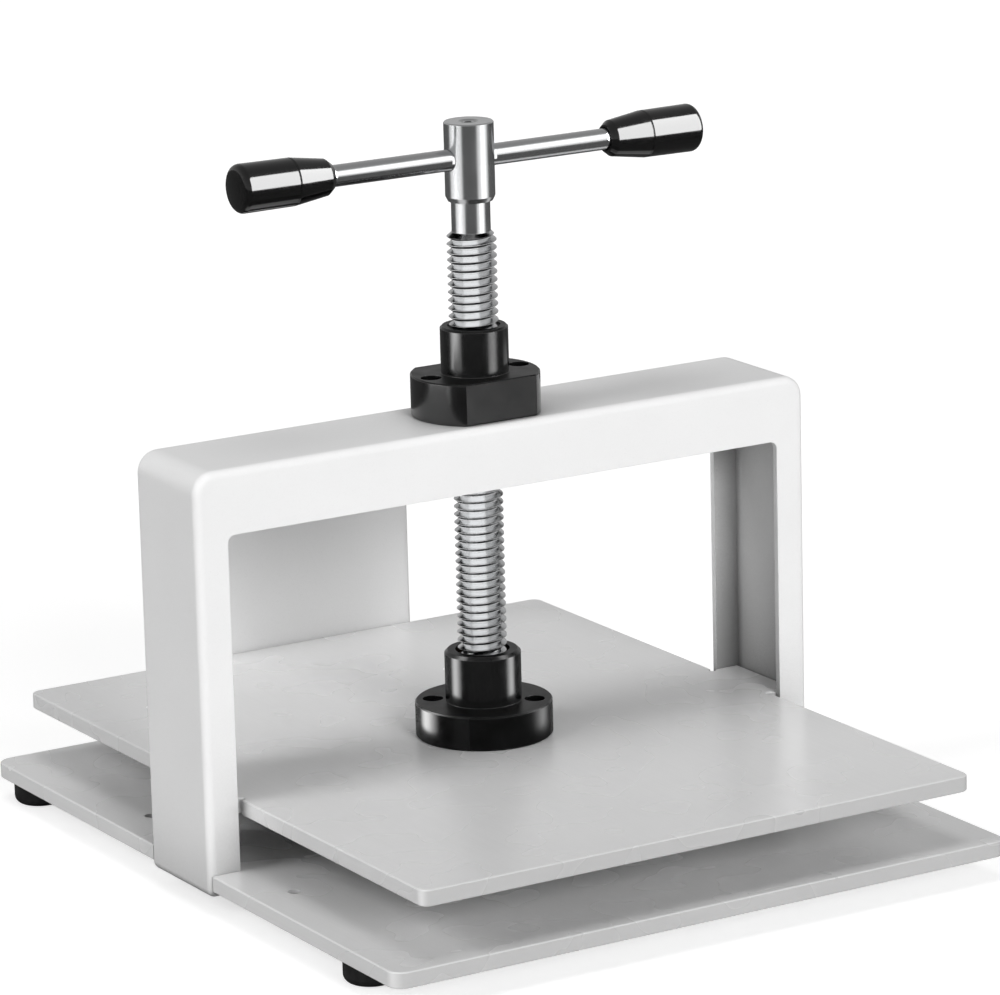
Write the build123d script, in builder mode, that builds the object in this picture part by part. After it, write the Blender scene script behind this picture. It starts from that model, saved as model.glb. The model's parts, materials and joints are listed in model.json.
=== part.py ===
from build123d import *
from math import ceil, cos, floor, radians, sin
import os

os.makedirs("parts", exist_ok=True)

# A hand bookbinding press for A4 work. A bent-sheet portal frame straddles a flat base plate. A
# screw runs through a black nut on top of the frame and carries a platen, whose side ears slide
# inside the frame's columns. Lengths are millimetres and angles are degrees.
# The origin is on the bench under the screw axis; +X runs along the frame's span, +Y to the rear.

# ---------------------------------------------------------------- driving dimensions
contact_gap = 0.05  # between two pieces that are bolted face to face
fit_gap = 0.05  # radial, round a pin, a journal or a screw in its thread
hole_gap = 0.15  # radial, round a screw in a clearance hole and inside a washer
notch_gap = 0.1  # each side of the rear stop in the base plate's notch
overlap = 1.0  # how far two features reach into each other before they are joined
edge_break = 0.4
turned_break = 0.5  # on the edges of the turned black pieces

foot_height = 9.0
foot_dia = 20.0
foot_round = 3.0
foot_x = 117.0
foot_front_y = -116.0
foot_rear_y = 140.0  # the rear pair stands nearer to the edge than the front pair
foot_web = 3.5  # rubber between the base plate and the foot washer
foot_recess_dia = 11.0

base_width = 258.0
base_length = 308.0
base_thickness = 6.0
base_corner = 6.0
bench_hole_dia = 5.0
bench_hole_x = 113.0
bench_hole_y = 55.0
tapped_depth = 5.0  # blind holes in the base plate, drilled from below

frame_width = 260.0
frame_depth = 46.0
frame_sheet = 2.5
frame_rise = 149.0  # top of the frame above the top of the base plate
frame_top_band = 24.0
frame_column_face = 12.5
frame_corner = 8.0
frame_bend = 3.0
opening_corner = 3.0
frame_tab_width = 25.0
frame_screw_x = 115.0
frame_screw_y = 13.0
frame_spindle_hole_dia = 22.0

work_gap = 20.0  # daylight between base plate and platen as the press stands
platen_width = 230.0
platen_length = 300.0
platen_thickness = 6.0
platen_corner = 4.0
ear_reach = 126.4  # how far the ears reach from the middle, into the columns
ear_half_width = 19.9
ear_relief_radius = 1.5

stop_gap = 0.8  # between the platen's rear edge and the stop
stop_width = 114.0
stop_height = 95.0  # above the top of the base plate
stop_sheet = 2.0
stop_bend = 3.0
stop_corner = 6.0
stop_foot_width = 100.0
stop_foot_depth = 24.0
stop_screw_x = 35.0
stop_screw_inset = 14.0

nut_dia = 48.0
nut_across_flats = 37.6
nut_thickness = 15.5
nut_boss_dia = 25.2
nut_boss_height = 17.5
nut_boss_chamfer = 0.8
nut_mouth_depth = 1.0  # plain counterbore at each end of the nut's thread
nut_mouth_gap = 0.6  # radial, round the spindle
nut_screw_x = 18.75
nut_screw_sink = 9.5

seat_dia = 51.4
seat_thickness = 13.1
seat_boss_dia = 28.6
seat_boss_height = 19.5
seat_boss_chamfer = 1.2
seat_cup_dia = 20.4
seat_cup_depth = 4.0
seat_pocket_dia = 22.0
seat_pocket_depth = 10.0
seat_screw_radius = 19.1
seat_screw_angle = -36.0
seat_screw_sink = 8.0
counterbore_dia = 7.8

thread_pitch = 3.0
thread_major_dia = 18.4
thread_minor_dia = 15.0
thread_crest = 0.06  # share of the pitch that is flat on the crest
thread_root = 0.08  # share of the pitch that is flat in the root
thread_gap = 0.3  # radial, between spindle and nut
thread_rise = 160.9
thread_lead_in = 4.2  # thread drawn below the shoulder and then faced off
thread_undercut = 0.2  # how far its end cones reach below the root
neck_dia = 14.4
neck_length = 11.4
head_dia = 18.4
head_length = 29.3
head_chamfer = 1.8
journal_dia = 12.0
journal_end_gap = 4.0  # between the journal's end and the platen
bar_drop = 13.6  # bar axis below the head's top
bar_hole_dia = 8.3

thrust_washer_thickness = 1.5
thrust_washer_dia = 19.6
washer_break = 0.2
retaining_washer_dia = 20.0
retaining_washer_thickness = 1.5
ring_thickness = 1.0
ring_dia = 17.0
ring_groove_dia = 11.0
ring_opening = 4.0
running_gap = 0.06  # along the axis, between pieces that turn on each other

bar_dia = 8.0
bar_stud_dia = 6.0
handle_length = 195.0
grip_length = 39.0
grip_dia = 18.0
grip_shoulder_dia = 13.6
grip_mouth_dia = 10.4
grip_mouth_chamfer = 2.1
grip_taper_length = 16.2
grip_taper_drop = 0.2  # how much smaller the grip is in radius at its crease than at its end
grip_end_round = 2.4
grip_dome = 0.9
grip_bore_dia = 8.8
grip_bore_depth = 7.0
crease_width = 0.8
crease_depth = 0.3
insert_dia = 10.0
insert_length = 20.0

m4 = 4.0
m5 = 5.0
m6 = 6.0
washer_m4_dia = 9.0
washer_m4_thickness = 0.8
washer_m5_dia = 10.0
washer_m5_thickness = 1.0
hex_nut_m4_flats = 7.0
hex_nut_m4_height = 3.2
socket_head_dia = 7.0
socket_head_height = 4.0
socket_m4_flats = 3.0
socket_m5_flats = 3.0
button_head_dia = 9.5
button_head_height = 2.75
pan_head_dia = 8.0
pan_head_height = 2.6
cross_width = 1.0
cross_length = 4.4
recess_depth = 1.6
screw_tip = 0.1  # chamfer on a screw's tip, as a share of its diameter
round_head = 0.6  # rounding of a pan or button head, as a share of its height
socket_head_break = 0.3
set_screw_length = 6.0
set_screw_countersink = 0.8
set_screw_tip = 0.5

# ---------------------------------------------------------------- worked-out heights
base_bottom = foot_height
base_top = base_bottom + base_thickness
frame_top = base_top + frame_rise
frame_ceiling = frame_top - frame_sheet
opening_top = frame_top - frame_top_band
tab_top = base_bottom - contact_gap
tab_bottom = tab_top - frame_sheet
platen_bottom = base_top + work_gap
platen_top = platen_bottom + platen_thickness
seat_disc_top = platen_top + seat_thickness
seat_boss_top = seat_disc_top + seat_boss_height
cup_floor = seat_boss_top - seat_cup_depth
pocket_roof = platen_top + seat_pocket_depth
shoulder = cup_floor + thrust_washer_thickness + 2 * running_gap
thread_start = shoulder - thread_lead_in
thread_top = shoulder + thread_rise
head_bottom = thread_top + neck_length
head_top = head_bottom + head_length
bar_height = head_top - bar_drop
journal_bottom = platen_top + journal_end_gap
ring_top = pocket_roof - retaining_washer_thickness - 2 * running_gap
nut_flange_top = frame_top + nut_thickness
nut_boss_top = nut_flange_top + nut_boss_height
web_inside = frame_width / 2 - frame_sheet
stop_front = platen_length / 2 + stop_gap
stop_rear = base_length / 2


# ---------------------------------------------------------------- shapes used more than once
def corners(x, y):
    """The four places at plus and minus x and y."""
    return [(side * x, end * y) for side in (-1, 1) for end in (-1, 1)]


def threaded_rod(radial_gap, bottom, turns):
    """A solid right-hand thread. Each turn is four strips, ruled between helices that follow the
    corners of the thread's profile, and a ramp and a wall close each end."""
    crest_radius = thread_major_dia / 2 + radial_gap
    root_radius = thread_minor_dia / 2 + radial_gap
    flank = (1 - thread_crest - thread_root) / 2
    profile = [
        (crest_radius, 0),
        (crest_radius, thread_crest * thread_pitch),
        (root_radius, (thread_crest + flank) * thread_pitch),
        (root_radius, (1 - flank) * thread_pitch),
        (crest_radius, thread_pitch),
    ]

    def helix(radius, start):
        return Edge.make_helix(thread_pitch, thread_pitch, radius, center=(0, 0, start))

    faces = []
    for turn in range(turns):
        start = bottom + turn * thread_pitch
        edges = [helix(radius, start + rise) for radius, rise in profile]
        faces += [Face.make_surface_from_curves(low, high) for low, high in zip(edges, edges[1:])]
    for start in (bottom, bottom + turns * thread_pitch):
        low_end = (0, 0, start)
        high_end = (0, 0, start + thread_pitch)
        axis = Edge.make_line(low_end, high_end)
        faces.append(Face.make_surface_from_curves(axis, helix(crest_radius, start)))
        outline = [(radius, 0, start + rise) for radius, rise in profile]
        faces.append(Face(Wire.make_polygon([low_end, *outline, high_end])))
    return Solid(Shell(faces))


def round_head_screw(size, shank_length, head_dia, head_height):
    """A screw whose head sits on z = 0 and hangs below it, with its shank above."""
    with BuildPart() as screw:
        Cylinder(size / 2, shank_length, align=(Align.CENTER, Align.CENTER, Align.MIN))
        chamfer(screw.edges().sort_by(Axis.Z)[-1], size * screw_tip)
        Cylinder(head_dia / 2, head_height, align=(Align.CENTER, Align.CENTER, Align.MAX))
        fillet(screw.edges().sort_by(Axis.Z)[0], head_height * round_head)
    return screw.part


def cross_head_screw(size, shank_length):
    """A pan-head screw with a cross recess, head down."""
    with BuildPart() as screw:
        add(round_head_screw(size, shank_length, pan_head_dia, pan_head_height))
        with BuildSketch(Plane.XY.offset(-pan_head_height)):
            Rectangle(cross_length, cross_width)
            Rectangle(cross_width, cross_length)
        extrude(amount=recess_depth, mode=Mode.SUBTRACT)
    return screw.part


def button_head_screw(size, shank_length):
    """A button-head screw with a hexagon socket, head down."""
    with BuildPart() as screw:
        add(round_head_screw(size, shank_length, button_head_dia, button_head_height))
        with BuildSketch(Plane.XY.offset(-button_head_height)):
            RegularPolygon(socket_m5_flats / 2, 6, major_radius=False)
        extrude(amount=recess_depth, mode=Mode.SUBTRACT)
    return screw.part


def socket_head_screw(size, shank_length):
    """A cap screw with a hexagon socket: head above z = 0, shank below."""
    with BuildPart() as screw:
        Cylinder(size / 2, shank_length, align=(Align.CENTER, Align.CENTER, Align.MAX))
        chamfer(screw.edges().sort_by(Axis.Z)[0], size * screw_tip)
        with BuildSketch():
            Circle(socket_head_dia / 2)
        extrude(amount=socket_head_height)
        chamfer(screw.edges().sort_by(Axis.Z)[-1], socket_head_break)
        with BuildSketch(Plane.XY.offset(socket_head_height)):
            RegularPolygon(socket_m4_flats / 2, 6, major_radius=False)
        extrude(amount=-socket_head_height / 2, mode=Mode.SUBTRACT)
    return screw.part


def washer(size, outer_dia, thickness):
    """A plain washer that lies on z = 0."""
    with BuildPart() as ring:
        with BuildSketch():
            Circle(outer_dia / 2)
            Circle(size / 2 + hole_gap, mode=Mode.SUBTRACT)
        extrude(amount=thickness)
    return ring.part


# ---------------------------------------------------------------- base plate
foot_places = [(x, y) for x in (-foot_x, foot_x) for y in (foot_front_y, foot_rear_y)]
frame_screw_places = corners(frame_screw_x, frame_screw_y)
stop_screw_y = base_length / 2 - stop_screw_inset
stop_screw_places = [(-stop_screw_x, stop_screw_y), (stop_screw_x, stop_screw_y)]

with BuildPart() as base_plate:
    with BuildSketch(Plane.XY.offset(base_bottom)):
        RectangleRounded(base_width, base_length, base_corner)
    extrude(amount=base_thickness)
    chamfer(base_plate.faces().filter_by(Axis.Z).edges(), edge_break)
    # edge notches that the frame's columns drop into
    with BuildSketch(Plane.XY.offset(base_bottom)):
        with Locations((-base_width / 2, 0), (base_width / 2, 0)):
            notch_depth = 2 * (base_width / 2 - web_inside + contact_gap)
            Rectangle(notch_depth, frame_depth + 2 * contact_gap)
    extrude(amount=base_thickness, mode=Mode.SUBTRACT)
    # rear notch, which the rear stop passes through
    with BuildSketch(Plane.XY.offset(base_bottom)):
        with Locations((0, stop_rear)):
            Rectangle(stop_width + 2 * notch_gap, 2 * (stop_rear - stop_front + contact_gap))
    extrude(amount=base_thickness, mode=Mode.SUBTRACT)
    # bench holes, right through
    with Locations((0, 0, base_top)):
        with GridLocations(2 * bench_hole_x, 2 * bench_hole_y, 2, 2):
            Hole(bench_hole_dia / 2, base_thickness)
    # blind tapped holes from below
    with BuildSketch(Plane.XY.offset(base_bottom)):
        with Locations(*foot_places, *stop_screw_places):
            Circle(m4 / 2 + fit_gap)
        with Locations(*frame_screw_places):
            Circle(m5 / 2 + fit_gap)
    extrude(amount=tapped_depth, mode=Mode.SUBTRACT)
base_plate.part.label = "base_plate"
export_step(base_plate.part, "parts/base_plate.step")

# ---------------------------------------------------------------- portal frame
with BuildPart() as portal_frame:
    # the portal's face, with rounded top corners, as deep as the channel
    with BuildSketch(Plane.XZ.offset(-frame_depth / 2)) as portal_face:
        with Locations((0, (frame_top + tab_bottom) / 2)):
            Rectangle(frame_width, frame_top - tab_bottom)
        fillet(portal_face.vertices().group_by(Axis.Y)[-1], frame_corner)
        fillet(portal_face.vertices().group_by(Axis.Y)[0], frame_bend)
    extrude(amount=frame_depth)
    outer_rims = portal_frame.faces().filter_by(Axis.Y).edges()
    fillet(outer_rims.filter_by(lambda edge: edge.center().Z > base_bottom), frame_bend)
    # hollow between the front and rear flanges
    with BuildSketch(Plane.XZ.offset(-frame_depth / 2 + frame_sheet)) as hollow:
        with Locations((0, (frame_ceiling + tab_top) / 2)):
            Rectangle(2 * web_inside, frame_ceiling - tab_top)
        fillet(hollow.vertices().group_by(Axis.Y)[-1], frame_corner - frame_sheet)
    extrude(amount=frame_depth - 2 * frame_sheet, mode=Mode.SUBTRACT)
    # opening between the columns, through both flanges
    with BuildSketch(Plane.XZ.offset(-frame_depth)) as opening:
        with Locations((0, (opening_top + tab_top) / 2)):
            Rectangle(frame_width - 2 * frame_column_face, opening_top - tab_top)
        fillet(opening.vertices().group_by(Axis.Y)[-1], opening_corner)
    extrude(amount=2 * frame_depth, mode=Mode.SUBTRACT)
    # below the top of the base plate the flanges stop, and only the webs go on down
    with BuildSketch(Plane.XZ.offset(-frame_depth)):
        with Locations((0, (base_top + contact_gap + tab_top) / 2)):
            Rectangle(2 * web_inside, base_top + contact_gap - tab_top)
    extrude(amount=2 * frame_depth, mode=Mode.SUBTRACT)
    # under the base plate the webs turn in as tabs, with nothing between them
    with BuildSketch(Plane.XZ.offset(-frame_depth)):
        with Locations((0, (tab_top + tab_bottom) / 2)):
            Rectangle(frame_width - 2 * frame_tab_width, 2 * frame_sheet)
    extrude(amount=2 * frame_depth, mode=Mode.SUBTRACT)
    # spindle hole and the holes of the nut's screws, in the top
    with BuildSketch(Plane.XY.offset(frame_top)):
        Circle(frame_spindle_hole_dia / 2)
        with Locations((-nut_screw_x, 0), (nut_screw_x, 0)):
            Circle(m4 / 2 + hole_gap)
    extrude(amount=-frame_sheet * 2, mode=Mode.SUBTRACT)
    # screw holes in the tabs
    with BuildSketch(Plane.XY.offset(tab_bottom)):
        with Locations(*frame_screw_places):
            Circle(m5 / 2 + hole_gap)
    extrude(amount=frame_sheet, mode=Mode.SUBTRACT)
portal_frame.part.label = "portal_frame"
export_step(portal_frame.part, "parts/portal_frame.step")

# ---------------------------------------------------------------- frame screws and washers
frame_washer_bottom = tab_bottom - contact_gap - washer_m5_thickness
frame_screw_seat = frame_washer_bottom - contact_gap
frame_screw_length = 8.0
with BuildPart() as frame_washers:
    frame_washer = washer(m5, washer_m5_dia, washer_m5_thickness)
    with Locations(*[(x, y, frame_washer_bottom) for x, y in frame_screw_places]):
        add(frame_washer)
frame_washers.part.label = "frame_washers"
export_step(frame_washers.part, "parts/frame_washers.step")

with BuildPart() as frame_screws:
    frame_screw = button_head_screw(m5, frame_screw_length)
    with Locations(*[(x, y, frame_screw_seat) for x, y in frame_screw_places]):
        add(frame_screw)
frame_screws.part.label = "frame_screws"
export_step(frame_screws.part, "parts/frame_screws.step")

# ---------------------------------------------------------------- rubber feet
foot_recess_roof = base_bottom - foot_web
with BuildPart() as rubber_feet:
    with BuildSketch():
        with Locations(*foot_places):
            Circle(foot_dia / 2)
    extrude(amount=foot_height - contact_gap)
    fillet(rubber_feet.faces().group_by(Axis.Z)[0].edges(), foot_round)
    with BuildSketch():
        with Locations(*foot_places):
            Circle(foot_recess_dia / 2)
    extrude(amount=foot_recess_roof, mode=Mode.SUBTRACT)
    with BuildSketch():
        with Locations(*foot_places):
            Circle(m4 / 2 + hole_gap)
    extrude(amount=foot_height, mode=Mode.SUBTRACT)
rubber_feet.part.label = "rubber_feet"
export_step(rubber_feet.part, "parts/rubber_feet.step")

foot_washer_bottom = foot_recess_roof - contact_gap - washer_m4_thickness
foot_screw_length = 8.0
with BuildPart() as foot_washers:
    foot_washer = washer(m4, washer_m4_dia, washer_m4_thickness)
    with Locations(*[(x, y, foot_washer_bottom) for x, y in foot_places]):
        add(foot_washer)
foot_washers.part.label = "foot_washers"
export_step(foot_washers.part, "parts/foot_washers.step")

with BuildPart() as foot_screws:
    foot_screw = cross_head_screw(m4, foot_screw_length)
    with Locations(*[(x, y, foot_washer_bottom - contact_gap) for x, y in foot_places]):
        add(foot_screw)
foot_screws.part.label = "foot_screws"
export_step(foot_screws.part, "parts/foot_screws.step")

# ---------------------------------------------------------------- rear stop
stop_top = base_top + stop_height
stop_foot_top = base_bottom - contact_gap
stop_foot_bottom = stop_foot_top - stop_sheet
with BuildPart() as rear_stop:
    # upright face whose side edges are folded to the rear, seen from above
    with BuildSketch(Plane.XY.offset(base_bottom)) as stop_outline:
        with Locations((0, (stop_front + stop_rear) / 2)):
            Rectangle(stop_width, stop_rear - stop_front)
        fillet(stop_outline.vertices().group_by(Axis.Y)[0], stop_bend)
    extrude(amount=stop_top - base_bottom)
    with BuildSketch(Plane.XY.offset(base_bottom)) as stop_hollow:
        with Locations((0, stop_front + stop_sheet + stop_bend)):
            Rectangle(stop_width - 2 * stop_sheet, 2 * stop_bend)
        fillet(stop_hollow.vertices().group_by(Axis.Y)[0], stop_bend - stop_sheet)
    extrude(amount=stop_top - base_bottom, mode=Mode.SUBTRACT)
    # rounded top corners
    with BuildSketch(Plane.XZ.offset(-stop_rear)):
        with Locations((0, stop_top - stop_width / 2)):
            RectangleRounded(stop_width, stop_width, stop_corner)
        with Locations((0, stop_top - stop_width)):
            Rectangle(stop_width, stop_width)
    extrude(amount=stop_rear - stop_front, mode=Mode.INTERSECT)
    # foot, turned forward under the base plate
    with BuildSketch(Plane.YZ.offset(-stop_foot_width / 2)) as stop_foot:
        with BuildLine():
            Polyline(
                (stop_front, base_top),
                (stop_front, stop_foot_top),
                (stop_front - stop_foot_depth, stop_foot_top),
                (stop_front - stop_foot_depth, stop_foot_bottom),
                (stop_front + stop_sheet, stop_foot_bottom),
                (stop_front + stop_sheet, base_top),
                close=True,
            )
        make_face()
        fillet(stop_foot.vertices().group_by(Axis.Y)[0].sort_by(Axis.X)[-1], stop_sheet)
    extrude(amount=stop_foot_width)
    with BuildSketch(Plane.XY.offset(stop_foot_bottom)):
        with Locations(*stop_screw_places):
            Circle(m4 / 2 + hole_gap)
    extrude(amount=stop_sheet, mode=Mode.SUBTRACT)
rear_stop.part.label = "rear_stop"
export_step(rear_stop.part, "parts/rear_stop.step")

stop_screw_length = 6.0
with BuildPart() as rear_stop_screws:
    stop_screw = cross_head_screw(m4, stop_screw_length)
    with Locations(*[(x, y, stop_foot_bottom - contact_gap) for x, y in stop_screw_places]):
        add(stop_screw)
rear_stop_screws.part.label = "rear_stop_screws"
export_step(rear_stop_screws.part, "parts/rear_stop_screws.step")

# ---------------------------------------------------------------- screw nut
nut_bottom = frame_top + contact_gap
nut_screw_places = [(-nut_screw_x, 0), (nut_screw_x, 0)]
# the nut's thread starts a whole number of turns above the spindle's, so the two are in step
turns_below_nut = floor((nut_bottom - thread_start) / thread_pitch) - 1
nut_thread_start = thread_start + turns_below_nut * thread_pitch
nut_thread_turns = ceil((nut_boss_top - nut_thread_start) / thread_pitch)
nut_thread = threaded_rod(thread_gap, nut_thread_start, nut_thread_turns)
with BuildPart() as screw_nut:
    with BuildSketch(Plane.XY.offset(nut_bottom)):
        Circle(nut_dia / 2)
        Rectangle(nut_dia, nut_across_flats, mode=Mode.INTERSECT)
    extrude(amount=nut_flange_top - nut_bottom)
    chamfer(screw_nut.faces().filter_by(Axis.Z).edges(), turned_break)
    with BuildSketch(Plane.XY.offset(nut_flange_top - overlap)):
        Circle(nut_boss_dia / 2)
    extrude(amount=nut_boss_height + overlap)
    chamfer(screw_nut.faces().sort_by(Axis.Z)[-1].edges(), nut_boss_chamfer)
    with Locations(*[(x, y, nut_flange_top) for x, y in nut_screw_places]):
        CounterBoreHole(m4 / 2 + hole_gap, counterbore_dia / 2, nut_screw_sink)
    with Locations((0, 0, nut_boss_top - nut_mouth_depth), (0, 0, nut_bottom)):
        Cylinder(
            thread_major_dia / 2 + nut_mouth_gap,
            nut_mouth_depth,
            align=(Align.CENTER, Align.CENTER, Align.MIN),
            mode=Mode.SUBTRACT,
        )
    add(nut_thread, mode=Mode.SUBTRACT)
screw_nut.part.label = "screw_nut"
export_step(screw_nut.part, "parts/screw_nut.step")

# ---------------------------------------------------------------- the nut's own fasteners
nut_screw_seat = nut_flange_top - nut_screw_sink + contact_gap
nut_screw_length = 16.0
nut_washer_top = frame_ceiling - contact_gap
hex_nut_top = nut_washer_top - washer_m4_thickness - contact_gap
with BuildPart() as nut_screws:
    nut_screw = socket_head_screw(m4, nut_screw_length)
    with Locations(*[(x, y, nut_screw_seat) for x, y in nut_screw_places]):
        add(nut_screw)
nut_screws.part.label = "nut_screws"
export_step(nut_screws.part, "parts/nut_screws.step")

with BuildPart() as nut_washers:
    nut_washer = washer(m4, washer_m4_dia, washer_m4_thickness)
    with Locations(*[(x, y, nut_washer_top - washer_m4_thickness) for x, y in nut_screw_places]):
        add(nut_washer)
nut_washers.part.label = "nut_washers"
export_step(nut_washers.part, "parts/nut_washers.step")

with BuildPart() as hex_nuts:
    with BuildSketch(Plane.XY.offset(hex_nut_top)):
        with Locations(*nut_screw_places):
            RegularPolygon(hex_nut_m4_flats / 2, 6, major_radius=False)
            Circle(m4 / 2 + fit_gap, mode=Mode.SUBTRACT)
    extrude(amount=-hex_nut_m4_height)
hex_nuts.part.label = "hex_nuts"
export_step(hex_nuts.part, "parts/hex_nuts.step")

# ---------------------------------------------------------------- platen
seat_screw_x = seat_screw_radius * cos(radians(seat_screw_angle))
seat_screw_y = seat_screw_radius * sin(radians(seat_screw_angle))
seat_screw_places = [(-seat_screw_x, -seat_screw_y), (seat_screw_x, seat_screw_y)]
with BuildPart() as platen:
    with BuildSketch(Plane.XY.offset(platen_bottom)):
        RectangleRounded(platen_width, platen_length, platen_corner)
        Rectangle(2 * ear_reach, 2 * ear_half_width)
        with GridLocations(platen_width, 2 * ear_half_width, 2, 2):
            Circle(ear_relief_radius, mode=Mode.SUBTRACT)
    extrude(amount=platen_thickness)
    chamfer(platen.faces().filter_by(Axis.Z).edges(), edge_break)
    with BuildSketch(Plane.XY.offset(platen_bottom)):
        with Locations(*seat_screw_places):
            Circle(m4 / 2 + fit_gap)
    extrude(amount=platen_thickness, mode=Mode.SUBTRACT)
platen.part.label = "platen"
export_step(platen.part, "parts/platen.step")

# ---------------------------------------------------------------- spindle seat
seat_bottom = platen_top + contact_gap
with BuildPart() as spindle_seat:
    with BuildSketch(Plane.XY.offset(seat_bottom)):
        Circle(seat_dia / 2)
    extrude(amount=seat_disc_top - seat_bottom)
    chamfer(spindle_seat.faces().filter_by(Axis.Z).edges(), turned_break)
    with BuildSketch(Plane.XY.offset(seat_disc_top - overlap)):
        Circle(seat_boss_dia / 2)
    extrude(amount=seat_boss_height + overlap)
    chamfer(spindle_seat.faces().sort_by(Axis.Z)[-1].edges(), seat_boss_chamfer)
    # cup for the thrust washer, journal bore and pocket for the retaining ring
    with BuildSketch(Plane.XY.offset(seat_boss_top)):
        Circle(seat_cup_dia / 2)
    extrude(amount=-seat_cup_depth, mode=Mode.SUBTRACT)
    with BuildSketch(Plane.XY.offset(seat_boss_top)):
        Circle(journal_dia / 2 + fit_gap)
    extrude(amount=seat_bottom - seat_boss_top, mode=Mode.SUBTRACT)
    with BuildSketch(Plane.XY.offset(seat_bottom)):
        Circle(seat_pocket_dia / 2)
    extrude(amount=pocket_roof - seat_bottom, mode=Mode.SUBTRACT)
    with Locations(*[(x, y, seat_disc_top) for x, y in seat_screw_places]):
        CounterBoreHole(m4 / 2 + hole_gap, counterbore_dia / 2, seat_screw_sink)
spindle_seat.part.label = "spindle_seat"
export_step(spindle_seat.part, "parts/spindle_seat.step")

seat_screw_length = 10.0
seat_screw_seat = seat_disc_top - seat_screw_sink + contact_gap
with BuildPart() as seat_screws:
    seat_screw = socket_head_screw(m4, seat_screw_length)
    with Locations(*[(x, y, seat_screw_seat) for x, y in seat_screw_places]):
        add(seat_screw)
seat_screws.part.label = "seat_screws"
export_step(seat_screws.part, "parts/seat_screws.step")

# ---------------------------------------------------------------- washers and ring on the journal
with BuildPart() as thrust_washer:
    with BuildSketch(Plane.XY.offset(cup_floor + running_gap)):
        Circle(thrust_washer_dia / 2)
        Circle(journal_dia / 2 + hole_gap, mode=Mode.SUBTRACT)
    extrude(amount=thrust_washer_thickness)
    chamfer(thrust_washer.edges().filter_by(GeomType.CIRCLE), washer_break)
thrust_washer.part.label = "thrust_washer"
export_step(thrust_washer.part, "parts/thrust_washer.step")

with BuildPart() as retaining_washer:
    with BuildSketch(Plane.XY.offset(pocket_roof - running_gap)):
        Circle(retaining_washer_dia / 2)
        Circle(journal_dia / 2 + hole_gap, mode=Mode.SUBTRACT)
    extrude(amount=-retaining_washer_thickness)
retaining_washer.part.label = "retaining_washer"
export_step(retaining_washer.part, "parts/retaining_washer.step")

with BuildPart() as retaining_ring:
    with BuildSketch(Plane.XY.offset(ring_top)):
        Circle(ring_dia / 2)
        Circle(ring_groove_dia / 2 + fit_gap, mode=Mode.SUBTRACT)
        with Locations((ring_dia / 2, 0)):
            Rectangle(ring_dia, ring_opening, mode=Mode.SUBTRACT)
    extrude(amount=-ring_thickness)
retaining_ring.part.label = "retaining_ring"
export_step(retaining_ring.part, "parts/retaining_ring.step")

# ---------------------------------------------------------------- spindle
thread_turns = ceil((thread_top - thread_start) / thread_pitch)
thread = threaded_rod(0, thread_start, thread_turns)
cone_top_radius = thread_major_dia / 2 + fit_gap
cone_end_radius = thread_minor_dia / 2 - thread_undercut
cone_height = cone_top_radius - cone_end_radius
with BuildPart() as spindle:
    add(thread)
    # both ends of the thread are faced off and turned down to a cone
    with BuildSketch(Plane.XZ):
        with BuildLine():
            Polyline(
                (0, shoulder),
                (cone_end_radius, shoulder),
                (cone_top_radius, shoulder + cone_height),
                (cone_top_radius, thread_top - cone_height),
                (cone_end_radius, thread_top),
                (0, thread_top),
                close=True,
            )
        make_face()
    revolve(axis=Axis.Z, mode=Mode.INTERSECT)
    # neck and head above the thread
    with BuildSketch(Plane.XZ):
        with BuildLine():
            Polyline(
                (0, thread_top - overlap),
                (neck_dia / 2, thread_top - overlap),
                (neck_dia / 2, head_bottom),
                (head_dia / 2 - head_chamfer / 2, head_bottom),
                (head_dia / 2, head_bottom + head_chamfer),
                (head_dia / 2, head_top - edge_break),
                (head_dia / 2 - edge_break, head_top),
                (0, head_top),
                close=True,
            )
        make_face()
    revolve(axis=Axis.Z)
    # journal below the thread, with the retaining ring's groove
    with BuildSketch(Plane.XZ):
        with BuildLine():
            Polyline(
                (0, shoulder + overlap),
                (journal_dia / 2, shoulder + overlap),
                (journal_dia / 2, ring_top + fit_gap),
                (ring_groove_dia / 2, ring_top + fit_gap),
                (ring_groove_dia / 2, ring_top - ring_thickness - fit_gap),
                (journal_dia / 2, ring_top - ring_thickness - fit_gap),
                (journal_dia / 2, journal_bottom + edge_break),
                (journal_dia / 2 - edge_break, journal_bottom),
                (0, journal_bottom),
                close=True,
            )
        make_face()
    revolve(axis=Axis.Z)
    # cross hole for the bar, and the tapped hole of the set screw that locks it
    with BuildSketch(Plane.YZ.offset(-head_dia)):
        with Locations((0, bar_height)):
            Circle(bar_hole_dia / 2)
    extrude(amount=2 * head_dia, mode=Mode.SUBTRACT)
    with Locations((0, 0, head_top)):
        CounterSinkHole(m6 / 2 + fit_gap, m6 / 2 + set_screw_countersink, bar_drop, 90)
spindle.part.label = "spindle"
export_step(spindle.part, "parts/spindle.step")

# ---------------------------------------------------------------- set screw in the head
set_screw_bottom = bar_height + bar_dia / 2 + contact_gap
with BuildPart() as bar_set_screw:
    with BuildSketch(Plane.XY.offset(set_screw_bottom)):
        Circle(m6 / 2)
    extrude(amount=set_screw_length)
    chamfer(bar_set_screw.edges().filter_by(GeomType.CIRCLE), set_screw_tip)
    with BuildSketch(Plane.XY.offset(set_screw_bottom + set_screw_length)):
        RegularPolygon(socket_m4_flats / 2, 6, major_radius=False)
    extrude(amount=-set_screw_length / 2, mode=Mode.SUBTRACT)
bar_set_screw.part.label = "bar_set_screw"
export_step(bar_set_screw.part, "parts/bar_set_screw.step")

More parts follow.
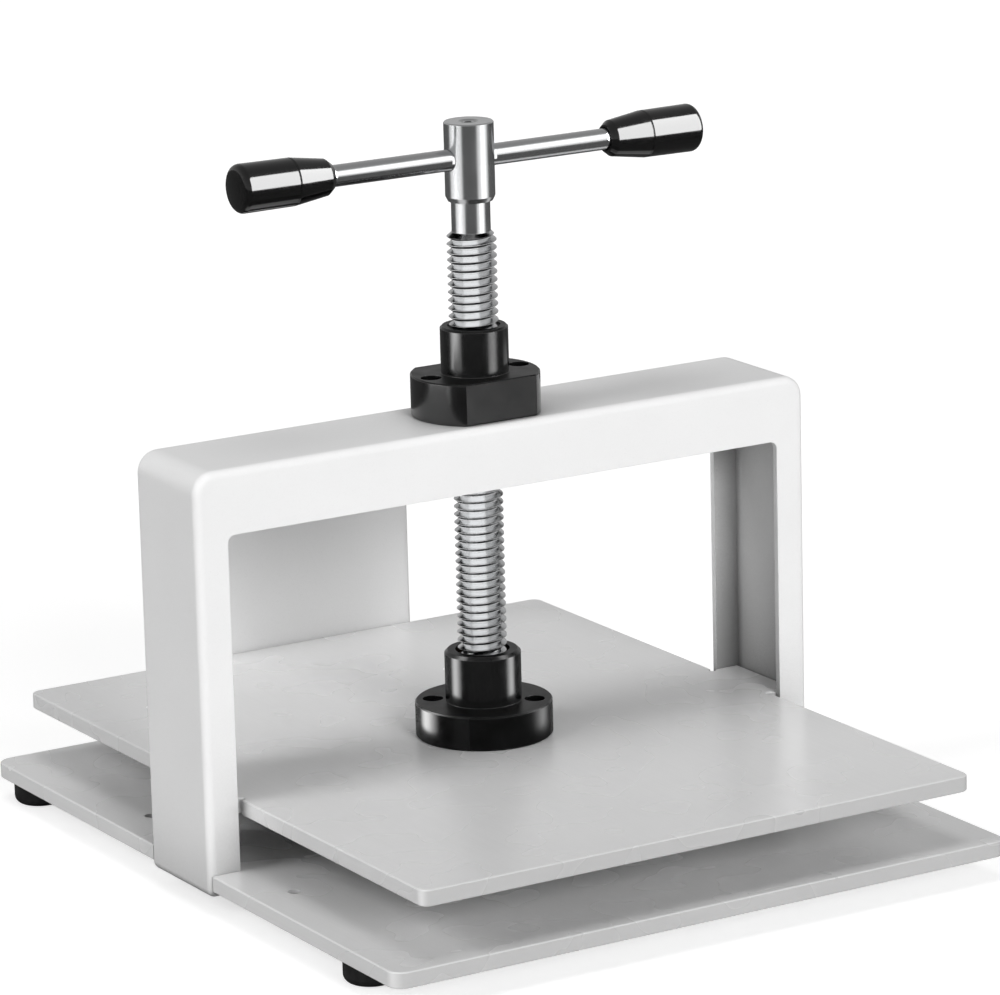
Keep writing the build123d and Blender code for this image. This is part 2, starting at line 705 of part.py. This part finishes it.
# ---------------------------------------------------------------- handle bar
bar_axis = Axis((0, 0, bar_height), (1, 0, 0))
grip_mouth_x = handle_length / 2 - grip_length
stud_start_x = grip_mouth_x + grip_bore_depth
stud_end_x = stud_start_x + insert_length
with BuildPart() as handle_bar:
    with BuildSketch(Plane.XZ):
        with BuildLine():
            Polyline(
                (-stud_end_x, bar_height),
                (-stud_end_x, bar_height + bar_stud_dia / 2 - edge_break),
                (-stud_end_x + edge_break, bar_height + bar_stud_dia / 2),
                (-stud_start_x, bar_height + bar_stud_dia / 2),
                (-stud_start_x, bar_height + bar_dia / 2),
                (stud_start_x, bar_height + bar_dia / 2),
                (stud_start_x, bar_height + bar_stud_dia / 2),
                (stud_end_x - edge_break, bar_height + bar_stud_dia / 2),
                (stud_end_x, bar_height + bar_stud_dia / 2 - edge_break),
                (stud_end_x, bar_height),
                close=True,
            )
        make_face()
    revolve(axis=bar_axis)
handle_bar.part.label = "handle_bar"
export_step(handle_bar.part, "parts/handle_bar.step")

# ---------------------------------------------------------------- grips
crease_x = grip_mouth_x + grip_taper_length
grip_end_x = handle_length / 2
grip_crease_radius = grip_dia / 2 - grip_taper_drop
with BuildPart() as right_grip:
    with BuildSketch(Plane.XZ):
        with BuildLine():
            Polyline(
                (grip_mouth_x, bar_height),
                (grip_mouth_x, bar_height + grip_mouth_dia / 2),
                (grip_mouth_x + grip_mouth_chamfer, bar_height + grip_shoulder_dia / 2),
                (crease_x - crease_width / 2, bar_height + grip_crease_radius),
                (crease_x, bar_height + grip_crease_radius - crease_depth),
                (crease_x + crease_width / 2, bar_height + grip_crease_radius),
                (grip_end_x - grip_dome, bar_height + grip_dia / 2),
            )
            ThreePointArc(
                (grip_end_x - grip_dome, bar_height + grip_dia / 2),
                (grip_end_x - grip_dome / 4, bar_height + grip_dia / 4),
                (grip_end_x, bar_height),
            )
            Line((grip_end_x, bar_height), (grip_mouth_x, bar_height))
        make_face()
    revolve(axis=bar_axis)
    end_rim = right_grip.edges().filter_by(lambda edge: edge.is_closed).sort_by(Axis.X)[-1]
    fillet(end_rim, grip_end_round)
    # mouth for the bar, then the seat of the threaded insert
    with BuildSketch(Plane.YZ.offset(grip_mouth_x)):
        with Locations((0, bar_height)):
            Circle(grip_bore_dia / 2)
    extrude(amount=grip_bore_depth, mode=Mode.SUBTRACT)
    with BuildSketch(Plane.YZ.offset(stud_start_x)):
        with Locations((0, bar_height)):
            Circle(insert_dia / 2 + fit_gap)
    extrude(amount=insert_length + overlap, mode=Mode.SUBTRACT)
right_grip.part.label = "right_grip"
export_step(right_grip.part, "parts/right_grip.step")

with BuildPart() as left_grip:
    mirror(right_grip.part, about=Plane.YZ)
left_grip.part.label = "left_grip"
export_step(left_grip.part, "parts/left_grip.step")

with BuildPart() as grip_inserts:
    with BuildSketch(Plane.YZ.offset(stud_start_x + contact_gap)):
        with Locations((0, bar_height)):
            Circle(insert_dia / 2)
            Circle(bar_stud_dia / 2 + fit_gap, mode=Mode.SUBTRACT)
    extrude(amount=insert_length)
    mirror(about=Plane.YZ)
grip_inserts.part.label = "grip_inserts"
export_step(grip_inserts.part, "parts/grip_inserts.step")
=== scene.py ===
"""Looks for a bookbinding press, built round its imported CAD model.

Every CAD node keeps its shape and place. This script gives each one a procedural material, rounds its
sharp edges in the shading, and adds the floor, the lights and the camera. Lengths are metres.
"""

import json
import math

import bpy
from mathutils import Matrix, Vector

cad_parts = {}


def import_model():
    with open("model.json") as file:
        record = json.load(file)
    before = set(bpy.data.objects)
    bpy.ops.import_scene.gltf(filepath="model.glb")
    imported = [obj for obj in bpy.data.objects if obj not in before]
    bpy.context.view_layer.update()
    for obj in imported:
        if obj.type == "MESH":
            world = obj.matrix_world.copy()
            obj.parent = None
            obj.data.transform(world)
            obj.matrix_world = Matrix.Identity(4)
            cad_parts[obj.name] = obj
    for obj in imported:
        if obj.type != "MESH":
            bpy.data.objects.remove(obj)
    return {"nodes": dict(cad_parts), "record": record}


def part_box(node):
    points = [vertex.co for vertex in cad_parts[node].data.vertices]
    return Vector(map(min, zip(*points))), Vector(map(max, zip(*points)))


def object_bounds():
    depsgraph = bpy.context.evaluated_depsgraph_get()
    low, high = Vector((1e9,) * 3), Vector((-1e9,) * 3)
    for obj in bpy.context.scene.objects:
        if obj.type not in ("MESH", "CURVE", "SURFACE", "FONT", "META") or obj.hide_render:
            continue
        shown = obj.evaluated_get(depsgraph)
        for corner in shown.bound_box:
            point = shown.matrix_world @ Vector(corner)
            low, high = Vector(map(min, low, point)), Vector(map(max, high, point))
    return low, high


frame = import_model()
cad_low, cad_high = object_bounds()

MM = 0.001

# camera: a long lens from the front left, slightly above the press and slightly rolled
CAMERA_AZIMUTH = -30.85
CAMERA_ELEVATION = 14.24
CAMERA_ROLL = -1.48
CAMERA_DISTANCE = 2.0347
CAMERA_LENS_MM = 198.1
SENSOR_WIDTH_MM = 36.0
CAMERA_TARGET = Vector((6.68, -4.38, 131.31)) * MM

# brightness of the room and of the floor's own glow, where 1 is white
MATT_WORLD = 0.18
GLOSS_HORIZON = 0.48
GLOSS_ZENITH = 0.25
FLOOR_LIFT = 0.68
FLOOR_SEEN = 0.50
FLOOR_IN_GLOSS = 0.12
PLATE_DIMMING = 0.95  # how much darker polished parts see the plates
SOFT_LIGHT_SPREAD = 24.0  # degrees
FLOOR_SIZE = 16.0

# the broad cards: how far they stand from the screw, and their lower edge
FAR = 0.42
LOW = -0.1

# lengths of the spindle's smooth top end
SPINDLE_HEAD = 29.3 * MM
SPINDLE_NECK = 11.4 * MM


# ---------------------------------------------------------------- material building blocks
class Graph:
    """A node tree, with short calls for the nodes that are used here."""

    def __init__(self, name):
        self.material = bpy.data.materials.new(name)
        self.material.use_nodes = True
        self.tree = self.material.node_tree
        self.tree.nodes.clear()
        self.place = self.add("ShaderNodeTexCoord").outputs["Object"]

    @classmethod
    def on(cls, tree):
        """A graph on a tree that isn't a material's."""
        graph = cls.__new__(cls)
        graph.tree = tree
        tree.nodes.clear()
        return graph

    def add(self, kind, settings=None, inputs=None):
        """A new node, with its settings and its inputs, which are values or other nodes' sockets."""
        node = self.tree.nodes.new(kind)
        for key, value in (settings or {}).items():
            setattr(node, key, value)
        for key, value in (inputs or {}).items():
            if isinstance(value, bpy.types.NodeSocket):
                self.tree.links.new(value, node.inputs[key])
            else:
                node.inputs[key].default_value = value
        return node

    def math(self, operation, a, b=0.0):
        """One sum on one or two values."""
        return self.add("ShaderNodeMath", {"operation": operation}, {0: a, 1: b}).outputs[0]

    def spread(self, value, from_low, from_high, to_low, to_high):
        """Maps one range of a value onto another, held inside its ends."""
        inputs = {1: from_low, 2: from_high, 3: to_low, 4: to_high, 0: value}
        return self.add("ShaderNodeMapRange", {"clamp": True}, inputs).outputs[0]

    def noise(self, size, detail=3.0, stretch=(1, 1, 1)):
        """Noise whose lumps are about size across, in metres; stretch lengthens them along an axis."""
        scale = [1 / factor for factor in stretch]
        where = self.add("ShaderNodeVectorMath", {"operation": "MULTIPLY"}, {0: self.place, 1: scale})
        inputs = {"Vector": where.outputs[0], "Scale": 1 / size, "Detail": detail, "Roughness": 0.55}
        return self.add("ShaderNodeTexNoise", None, inputs).outputs["Fac"]

    def specks(self, size):
        """Distance from the middle of the nearest of many scattered cells."""
        inputs = {"Vector": self.place, "Scale": 1 / size}
        return self.add("ShaderNodeTexVoronoi", None, inputs).outputs["Distance"]

    def blend(self, share, first, second):
        """Colour between first and second."""
        node = self.add("ShaderNodeMix", {"data_type": "RGBA"}, {0: share, 6: first, 7: second})
        return node.outputs[2]

    # edge mask: it paints highlights on the edges of most materials, and rubbed edges on the black oxide
    def edge_wear_and_highlight(self, radius):
        """0 on flat faces, rising to 1 on sharp edges, within radius."""
        soft = self.add("ShaderNodeBevel", {"samples": 4}, {"Radius": radius}).outputs[0]
        true = self.add("ShaderNodeNewGeometry").outputs["Normal"]
        dot = self.add("ShaderNodeVectorMath", {"operation": "DOT_PRODUCT"}, {0: soft, 1: true})
        return self.spread(dot.outputs["Value"], 0.97, 0.75, 0.0, 1.0)

    def soft_edges(self, radius):
        """A normal that rounds every edge by radius."""
        return self.add("ShaderNodeBevel", {"samples": 6}, {"Radius": radius}).outputs[0]

    def bump(self, height, depth, normal):
        """The given normal, bent by a height of 0 to 1 that stands for depth metres."""
        inputs = {"Height": height, "Strength": 1.0, "Distance": depth, "Normal": normal}
        return self.add("ShaderNodeBump", None, inputs).outputs[0]

    def part_of(self, vector, axis):
        """One of a vector's three parts."""
        return self.add("ShaderNodeSeparateXYZ", None, {0: vector}).outputs[axis]

    def true_normal(self, axis):
        """One part of the surface's own normal."""
        return self.part_of(self.add("ShaderNodeNewGeometry").outputs["Normal"], axis)

    def shelter(self, distance):
        """0 in the open, rising to 1 deep in a recess, judged within a distance."""
        inputs = {"Distance": distance}
        openness = self.add("ShaderNodeAmbientOcclusion", {"samples": 6}, inputs).outputs["AO"]
        return self.spread(openness, 0.25, 0.85, 1.0, 0.0)

    def polished_view(self):
        """1 for what is seen in a polished surface, 0 for what the camera or a matt surface sees."""
        return self.add("ShaderNodeLightPath").outputs["Is Glossy Ray"]

    def finish(self, **inputs):
        """Ends the tree with a principled shader."""
        named = {key.replace("_", " "): value for key, value in inputs.items()}
        shader = self.add("ShaderNodeBsdfPrincipled", None, named)
        self.add("ShaderNodeOutputMaterial", None, {"Surface": shader.outputs[0]})
        return self.material


def grey(value, tint=0.0):
    """A grey colour, slightly bluer for a positive tint."""
    return (value * (1 - tint), value, value * (1 + tint), 1.0)


def rings_about(axis, length):
    """The stretch that turns noise into rings round an axis, by how much longer than thick they are."""
    return [1.0 if name == axis else length for name in "XYZ"]


# ---------------------------------------------------------------- materials
def powder_coat(name, colour, edge_highlight_colour, roughness, dust_and_recess_shade):
    """Sprayed and baked paint: fine orange peel, faint clouding, and painted shade that darkens the paint in
    the recesses.
    """
    g = Graph(name)
    cloud = g.noise(60 * MM, 2.0)
    fleck = g.noise(0.7 * MM, 2.0)
    base = g.blend(g.spread(cloud, 0.35, 0.65, 0.0, 0.06), colour, grey(0.5))
    base = g.blend(g.spread(fleck, 0.55, 0.75, 0.0, 0.05), base, grey(0.35))
    # painted highlight: sharp edges lightened towards a whiter colour
    base = g.blend(g.math("MULTIPLY", g.edge_wear_and_highlight(0.5 * MM), 0.6), base, edge_highlight_colour)
    # painted shade: the paint darkens towards a dark grey deep in recesses, as strongly as the last argument
    # asks
    base = g.blend(g.math("MULTIPLY", g.shelter(50 * MM), dust_and_recess_shade), base, grey(0.12))
    rough = g.spread(cloud, 0.3, 0.7, roughness - 0.03, roughness + 0.04)
    peel = g.math("ADD", g.noise(1.6 * MM, 2.0), g.math("MULTIPLY", fleck, 0.35))
    normal = g.bump(peel, 0.012 * MM, g.soft_edges(0.35 * MM))
    return g.finish(Base_Color=base, Roughness=rough, Normal=normal, Coat_Weight=0.12, Coat_Roughness=0.15)


def satin_plate(name):
    """Ground and clear-coated steel plate: a light grey with a soft, clear reflection, painted highlights
    on the edges, and duller sawn ends."""
    g = Graph(name)
    cloud = g.noise(80 * MM, 2.0)
    grain = g.noise(0.9 * MM, 2.0, stretch=(1, 40, 1))
    base = g.blend(g.spread(cloud, 0.3, 0.7, 0.0, 1.0), grey(0.82), grey(0.86))
    base = g.blend(g.spread(grain, 0.4, 0.7, 0.0, 0.06), base, grey(0.60))
    # painted highlight: sharp edges lightened towards near white
    base = g.blend(g.math("MULTIPLY", g.edge_wear_and_highlight(0.4 * MM), 0.7), base, grey(0.95))
    ends = g.math("ABSOLUTE", g.true_normal("Y"))
    base = g.blend(g.spread(ends, 0.5, 0.9, 0.0, 0.6), base, grey(0.42))
    base = g.blend(g.math("MULTIPLY", g.polished_view(), PLATE_DIMMING), base, grey(0.0))
    rough = g.spread(g.noise(25 * MM, 1.0), 0.0, 1.0, 0.22, 0.32)
    normal = g.bump(g.noise(14 * MM, 2.0), 0.006 * MM, g.soft_edges(0.3 * MM))
    return g.finish(Base_Color=base, Metallic=0.12, Roughness=rough, Normal=normal)


def turned_steel(name, along, pitch, roughness):
    """Bright turned steel: fine tool rings square to the axis it was turned about."""
    g = Graph(name)
    rings = g.noise(pitch, 2.0, stretch=rings_about(along, 400.0))
    smear = g.noise(9 * MM, 3.0)
    base = g.blend(g.spread(rings, 0.35, 0.7, 0.0, 0.18), grey(0.80, 0.01), grey(0.52, 0.02))
    # painted highlight: sharp edges lightened towards near white
    base = g.blend(g.math("MULTIPLY", g.edge_wear_and_highlight(0.25 * MM), 0.5), base, grey(0.95))
    rough = g.spread(smear, 0.3, 0.7, roughness - 0.02, roughness + 0.05)
    rough = g.math("ADD", rough, g.spread(rings, 0.4, 0.8, 0.0, 0.05))
    normal = g.bump(rings, 0.0015 * MM, g.soft_edges(0.15 * MM))
    return g.finish(Base_Color=base, Metallic=1.0, Roughness=rough, Normal=normal)


def black_oxide(name, roughness, ring_length):
    """Blackened and oiled steel: near black, with faint tool rings and edges rubbed a little lighter.
    Rings of length 1 are plain grain. Milled flats, and faces that are square to the turning axis, are
    duller than the turned ones."""
    g = Graph(name)
    cloud = g.noise(7 * MM, 3.0)
    rings = g.noise(0.4 * MM, 2.0, stretch=rings_about("Z", ring_length))
    base = g.blend(g.spread(cloud, 0.3, 0.7, 0.0, 1.0), grey(0.002), grey(0.005, 0.03))
    base = g.blend(g.math("MULTIPLY", g.edge_wear_and_highlight(0.45 * MM), 0.8), base, grey(0.10))
    across = g.math("ABSOLUTE", g.part_of(g.place, "Y"))
    on_flat = g.math("GREATER_THAN", across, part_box("screw_nut")[1].y - 0.05 * MM)
    dull = g.math("MAXIMUM", g.spread(g.true_normal("Z"), 0.5, 0.9, 0.0, 1.0), on_flat)
    rough = g.spread(cloud, 0.3, 0.7, roughness - 0.03, roughness + 0.06)
    rough = g.math("ADD", rough, g.math("MULTIPLY", dull, 0.12))
    normal = g.bump(rings, 0.002 * MM, g.soft_edges(0.3 * MM))
    gloss = g.spread(dull, 0.0, 1.0, 0.6, 0.25)
    return g.finish(
        Base_Color=base,
        Roughness=rough,
        Normal=normal,
        Specular_IOR_Level=gloss,
        Coat_Weight=g.spread(dull, 0.0, 1.0, 0.5, 0.0),
        Coat_Roughness=0.16,
    )


def moulded_black(name):
    """Glossy black moulded grip: a smooth skin with slight waves, fine dust marks and hairline scratches."""
    g = Graph(name)
    wave = g.noise(5 * MM, 1.0)
    scratch = g.noise(0.5 * MM, 2.0, stretch=(30, 1, 1))
    dust_and_recess_shade = g.spread(g.specks(1.2 * MM), 0.0, 0.09, 1.0, 0.0)
    base = g.blend(g.math("MULTIPLY", dust_and_recess_shade, 0.2), grey(0.003), grey(0.07))
    rough = g.spread(scratch, 0.55, 0.75, 0.13, 0.24)
    height = g.math("ADD", wave, g.math("MULTIPLY", scratch, 0.05))
    normal = g.bump(height, 0.03 * MM, g.soft_edges(0.25 * MM))
    return g.finish(Base_Color=base, Roughness=rough, Normal=normal, Coat_Weight=0.6, Coat_Roughness=0.05)


def rubber(name):
    """Matt black moulded rubber with a fine pebbled skin."""
    g = Graph(name)
    pebble = g.specks(0.5 * MM)
    bloom = g.noise(6 * MM, 3.0)
    base = g.blend(g.spread(bloom, 0.4, 0.7, 0.0, 1.0), grey(0.010), grey(0.024))
    rough = g.spread(bloom, 0.3, 0.7, 0.55, 0.75)
    normal = g.bump(pebble, 0.03 * MM, g.soft_edges(0.3 * MM))
    return g.finish(Base_Color=base, Roughness=rough, Normal=normal)


def plain_metal(name, colour, dull_colour, roughness):
    """Small turned or stamped metal part: mottled plating, fine grain and painted highlights on the edges.
    """
    g = Graph(name)
    mottle = g.noise(1.5 * MM, 3.0)
    grain = g.noise(0.2 * MM, 2.0)
    base = g.blend(g.spread(mottle, 0.35, 0.65, 0.0, 1.0), colour, dull_colour)
    # painted highlight: sharp edges lightened towards a pale grey
    base = g.blend(g.math("MULTIPLY", g.edge_wear_and_highlight(0.2 * MM), 0.5), base, grey(0.9))
    rough = g.spread(mottle, 0.3, 0.7, roughness - 0.05, roughness + 0.08)
    normal = g.bump(grain, 0.004 * MM, g.soft_edges(0.12 * MM))
    return g.finish(Base_Color=base, Metallic=1.0, Roughness=rough, Normal=normal)


def material_by_slot():
    """One material for each of the record's material slots."""
    return {
        "plate_steel": satin_plate("satin_plate"),
        "frame_paint": powder_coat("white_powder_coat", grey(0.90), grey(0.97), 0.38, 0.8),
        "stop_paint": powder_coat("grey_powder_coat", grey(0.83), grey(0.90), 0.34, 0.2),
        "bright_steel": turned_steel("turned_steel", "Z", 0.35 * MM, 0.17),
        "black_flange": black_oxide("black_oxide_turned", 0.20, 300.0),
        "black_fastener": black_oxide("black_oxide_fastener", 0.32, 1.0),
        "zinc_fastener": plain_metal("zinc_plate", grey(0.70, 0.02), grey(0.55, 0.03), 0.28),
        "spring_steel": plain_metal("oiled_spring_steel", grey(0.22), grey(0.14), 0.30),
        "bronze": plain_metal("oiled_bronze", (0.26, 0.16, 0.08, 1), (0.18, 0.10, 0.05, 1), 0.42),
        "brass_insert": plain_metal("turned_brass", (0.74, 0.56, 0.25, 1), (0.60, 0.43, 0.17, 1), 0.25),
        "grip_plastic": moulded_black("moulded_black"),
        "foot_rubber": rubber("moulded_rubber"),
    }


def dress_nodes():
    """Gives every CAD node the material of its slot; the bar was turned about X, not Z."""
    materials = material_by_slot()
    for part in frame["record"]["subparts"]:
        mesh = frame["nodes"][part["node"]].data
        mesh.materials.clear()
        mesh.materials.append(materials[part["material_slot"]])
    bar = frame["nodes"]["handle_bar"].data
    bar.materials[0] = turned_steel("turned_steel_bar", "X", 0.35 * MM, 0.15)


# ---------------------------------------------------------------- studio
def direction(azimuth, elevation):
    """Unit vector from the press outwards, by the camera's own angles."""
    a, e = math.radians(azimuth), math.radians(elevation)
    return Vector((math.sin(a) * math.cos(e), -math.cos(a) * math.cos(e), math.sin(e)))


def floor():
    """A pale matt floor under the feet. Polished parts see it darker than the camera does."""
    bpy.ops.mesh.primitive_plane_add(size=FLOOR_SIZE, location=(0, 0, cad_low.z))
    plane = bpy.context.object
    plane.name = "studio_floor"
    g = Graph("pale_floor")
    path = g.add("ShaderNodeLightPath").outputs
    tone = g.blend(g.spread(g.noise(0.4, 2.0), 0.3, 0.7, 0.0, 1.0), grey(0.84), grey(0.86))
    tone = g.blend(path["Is Camera Ray"], tone, grey(FLOOR_SEEN))
    tone = g.blend(path["Is Glossy Ray"], tone, grey(FLOOR_IN_GLOSS))
    matt = g.add("ShaderNodeBsdfDiffuse", None, {"Color": tone})
    lift = g.math("MULTIPLY", path["Is Camera Ray"], FLOOR_LIFT)
    glow = g.add("ShaderNodeEmission", None, {"Strength": lift})
    both = g.add("ShaderNodeAddShader", None, {0: matt.outputs[0], 1: glow.outputs[0]})
    g.add("ShaderNodeOutputMaterial", None, {"Surface": both.outputs[0]})
    plane.data.materials.append(g.material)


def soft_light(name, azimuth, elevation, level):
    """A broad distant light that only matt surfaces see. Level is what it adds to a white card facing it."""
    light = bpy.data.lights.new(name, "SUN")
    light.angle = math.radians(SOFT_LIGHT_SPREAD)
    light.energy = level * math.pi
    lamp = bpy.data.objects.new(name, light)
    lamp.visible_glossy = False
    lamp.rotation_mode = "QUATERNION"
    lamp.rotation_quaternion = direction(azimuth, elevation).to_track_quat("Z", "Y")
    bpy.context.scene.collection.objects.link(lamp)


def reflector(name, azimuth, distance, low_edge, size, level, softness, seen_from, bounces=1, falling=False):
    """A standing card that faces the screw, which only one zone of the press sees in its polished surfaces.
    softness is the share of its width and of its height over which each edge fades. seen_from is the zone:
    its inner and outer radius from the screw, and its lower and upper height. bounces is how many the view
    takes at the most. A falling card glows for rays on their way down and is black for the rest."""
    bpy.ops.mesh.primitive_plane_add(size=1.0)
    card = bpy.context.object
    card.name = name
    g = Graph(name)
    spot = g.add("ShaderNodeTexCoord").outputs["Generated"]
    share = 1.0
    for axis, fade in zip("XY", softness):
        off_centre = g.math("ABSOLUTE", g.math("SUBTRACT", g.part_of(spot, axis), 0.5))
        share = g.math("MULTIPLY", share, g.spread(off_centre, 0.5, 0.5 - fade, 0.0, 1.0))

    # the point that the card is seen from
    here = g.add("ShaderNodeNewGeometry").outputs
    way_back = {"Vector": here["Incoming"], "Scale": g.add("ShaderNodeLightPath").outputs["Ray Length"]}
    step = g.add("ShaderNodeVectorMath", {"operation": "SCALE"}, way_back).outputs[0]
    origin = g.add("ShaderNodeVectorMath", {"operation": "ADD"}, {0: here["Position"], 1: step}).outputs[0]
    flat = g.add("ShaderNodeVectorMath", {"operation": "MULTIPLY"}, {0: origin, 1: (1, 1, 0)}).outputs[0]
    radius = g.add("ShaderNodeVectorMath", {"operation": "LENGTH"}, {0: flat}).outputs["Value"]
    inner, outer, bottom, top = seen_from
    for value, low, high in ((radius, inner, outer), (g.part_of(origin, "Z"), bottom, top)):
        share = g.math("MULTIPLY", share, g.math("GREATER_THAN", value, low))
        share = g.math("MULTIPLY", share, g.math("LESS_THAN", value, high))
    depth = g.add("ShaderNodeLightPath").outputs["Ray Depth"]
    share = g.math("MULTIPLY", share, g.math("LESS_THAN", depth, bounces + 0.5))

    if falling:
        level = g.math("MULTIPLY", g.math("GREATER_THAN", g.part_of(here["Incoming"], "Z"), 0.0), level)
    glow = g.add("ShaderNodeEmission", None, {"Strength": level})
    clear = g.add("ShaderNodeBsdfTransparent")
    mix = g.add("ShaderNodeMixShader", None, {0: share, 1: clear.outputs[0], 2: glow.outputs[0]})
    g.add("ShaderNodeOutputMaterial", None, {"Surface": mix.outputs[0]})
    card.data.materials.append(g.material)
    width, height = size
    card.scale = (width, height, 1)
    card.rotation_euler = (math.radians(90), 0, math.radians(azimuth))
    card.location = direction(azimuth, 0) * distance + Vector((0, 0, low_edge + height / 2))
    card.visible_camera = False
    card.visible_diffuse = False
    card.visible_shadow = False
    card.visible_transmission = False


def zone(node, inner=0.0, low=None, high=None):
    """The zone that a node fills, as a reflector takes it, cut to given heights or radii."""
    corner_low, corner_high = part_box(node)
    outer = corner_high.x + 1 * MM
    bottom = corner_low.z - 1 * MM if low is None else low
    top = corner_high.z + 1 * MM if high is None else high
    return inner, outer, bottom, top


def world():
    """White to the camera, an even grey to matt surfaces, and darkening upwards to polished ones."""
    room = bpy.data.worlds.new("studio")
    bpy.context.scene.world = room
    room.use_nodes = True
    g = Graph.on(room.node_tree)
    path = g.add("ShaderNodeLightPath").outputs
    up = g.part_of(g.add("ShaderNodeTexCoord").outputs["Generated"], "Z")
    gloss = g.spread(up, 0.0, 0.9, GLOSS_HORIZON, GLOSS_ZENITH)
    level = g.math("MULTIPLY", path["Is Glossy Ray"], gloss)
    level = g.math("ADD", level, g.math("MULTIPLY", path["Is Diffuse Ray"], MATT_WORLD))
    level = g.math("ADD", level, path["Is Camera Ray"])
    background = g.add("ShaderNodeBackground", None, {"Color": grey(1.0), "Strength": level})
    g.add("ShaderNodeOutputWorld", None, {0: background.outputs[0]})


def studio():
    """Soft lights for the matt surfaces, cards for the polished ones, and the room."""
    soft_light("front_light", -4, 20, 0.65)
    soft_light("left_light", -96, 38, 0.33)
    soft_light("top_light", 0, 88, 0.18)
    left, right = CAMERA_AZIMUTH - 66, CAMERA_AZIMUTH + 64
    wide = (0.42, 0.02)
    crisp = (0.02, 0.02)

    # head and neck: two broad soft bands
    thread_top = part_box("spindle")[1].z - SPINDLE_HEAD - SPINDLE_NECK
    head = zone("spindle", low=thread_top)
    reflector("head_left", left, FAR, LOW, (0.62, 0.9), 2.0, wide, head)
    reflector("head_right", right, FAR, LOW, (0.52, 0.9), 1.8, wide, head)

    # thread: light from the front and below comes back from between its flanks
    thread = zone("spindle", high=thread_top)
    plate_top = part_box("platen")[1].z + 0.5 * MM
    for side, turn, level in (("left", -100, 1.0), ("front", -10, 1.4), ("right", 80, 0.7)):
        azimuth = CAMERA_AZIMUTH + turn
        reflector(f"thread_{side}", azimuth, 0.09, plate_top, (0.18, 0.6), level, crisp, thread, 4, True)

    # nut and seat
    nut = zone("screw_nut")
    reflector("nut_left", left, FAR, LOW, (0.36, 0.5), 6.6, wide, nut)
    reflector("nut_right", right, FAR, LOW, (0.30, 0.5), 4.8, wide, nut)
    seat = zone("spindle_seat")
    reflector("seat_left", left - 8, 0.035, plate_top, (0.024, 0.08), 6.0, wide, seat)
    reflector("seat_right", right + 12, 0.035, plate_top, (0.020, 0.08), 5.0, wide, seat)

    # bar and grips: one high band
    bar = zone("handle_bar", low=thread_top)
    grips = zone("right_grip", inner=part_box("right_grip")[0].x - 1 * MM)
    aside = 31
    reflector("bar_front", aside, 0.233, 0.235, (0.40, 0.34), 1.7, (0.02, 0.35), bar)
    reflector("grip_front", aside, 0.23, 0.235, (0.40, 0.34), 12.0, crisp, grips)
    world()


def camera():
    """The camera, at the press's front left."""
    data = bpy.data.cameras.new("camera")
    data.sensor_fit = "HORIZONTAL"
    data.sensor_width = SENSOR_WIDTH_MM
    data.lens = CAMERA_LENS_MM
    data.clip_start = 0.1
    data.clip_end = 50.0
    eye = bpy.data.objects.new("camera", data)
    back = direction(CAMERA_AZIMUTH, CAMERA_ELEVATION)
    right = (-back).cross(Vector((0, 0, 1))).normalized()
    turned_right = Matrix.Rotation(math.radians(CAMERA_ROLL), 3, back) @ right
    up = back.cross(turned_right)
    turn = Matrix((turned_right, up, back)).transposed()
    eye.matrix_world = Matrix.Translation(CAMERA_TARGET + back * CAMERA_DISTANCE) @ turn.to_4x4()
    bpy.context.scene.collection.objects.link(eye)
    bpy.context.scene.camera = eye


dress_nodes()
floor()
studio()
camera()
bpy.context.scene.view_settings.view_transform = "Standard"
